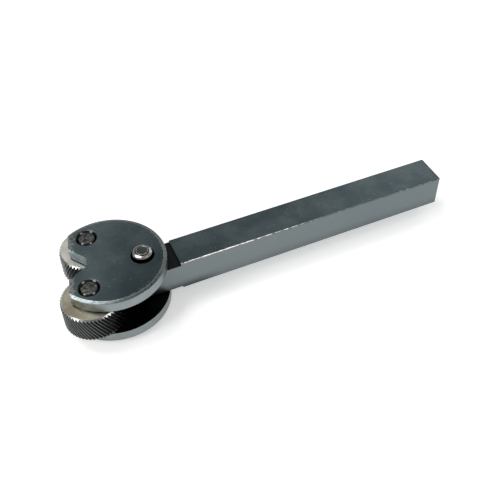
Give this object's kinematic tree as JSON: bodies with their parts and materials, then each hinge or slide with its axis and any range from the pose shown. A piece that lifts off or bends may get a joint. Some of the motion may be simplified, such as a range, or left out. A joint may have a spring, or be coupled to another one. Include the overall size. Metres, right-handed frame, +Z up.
{
  "type": "knurling tool",
  "caption": "Lathe knurling tool: a square shank carries a free-swivelling head of round notched cheek plates with opposite-handed helical knurl wheels between them.",
  "frame": {"origin": "middle of the flat underside of the shank's full-height length", "axes": "+X along the shank, away from the head, +Z up with the tool lying on its side, parallel to the pivot and to both knurl axes"},
  "size_m": [0.1413, 0.0415, 0.0234],
  "materials": {
    "blued_shank": "blued, lightly worn at the edges",
    "blued_cheek": "blued, satin",
    "polished_pin": "polished ends",
    "pin_end": "dull ground ends",
    "knurl": "ground faces, dark cut teeth",
    "washer": "plain rolled steel"
  },
  "bodies": {
    "shank": {"shank": "blued_shank"},
    "head": {"upper_cheek": "blued_cheek", "lower_cheek": "blued_cheek", "pivot_pin": "polished_pin", "left_hand_knurl_pin": "pin_end", "right_hand_knurl_pin": "pin_end", "left_hand_upper_washer": "washer", "left_hand_lower_washer": "washer", "right_hand_upper_washer": "washer", "right_hand_lower_washer": "washer", "upper_pivot_washer": "washer", "lower_pivot_washer": "washer"},
    "left_hand_knurl": {"left_hand_knurl": "knurl"},
    "right_hand_knurl": {"right_hand_knurl": "knurl"}
  },
  "joints": [
    {"name": "head_swivel", "type": "hinge", "parent": "shank", "child": "head", "pos_m": [-0.06118, 0, 0.006], "axis": [0, 0, 1], "range_deg": [-26.1, 53.9]},
    {"name": "left_hand_knurl_spin", "type": "hinge", "parent": "head", "child": "left_hand_knurl", "pos_m": [-0.08102, -0.00652, 0.006], "axis": [0, 0, 1], "continuous": true},
    {"name": "right_hand_knurl_spin", "type": "hinge", "parent": "head", "child": "right_hand_knurl", "pos_m": [-0.07569, 0.01503, 0.006], "axis": [0, 0, 1], "continuous": true}
  ]
}
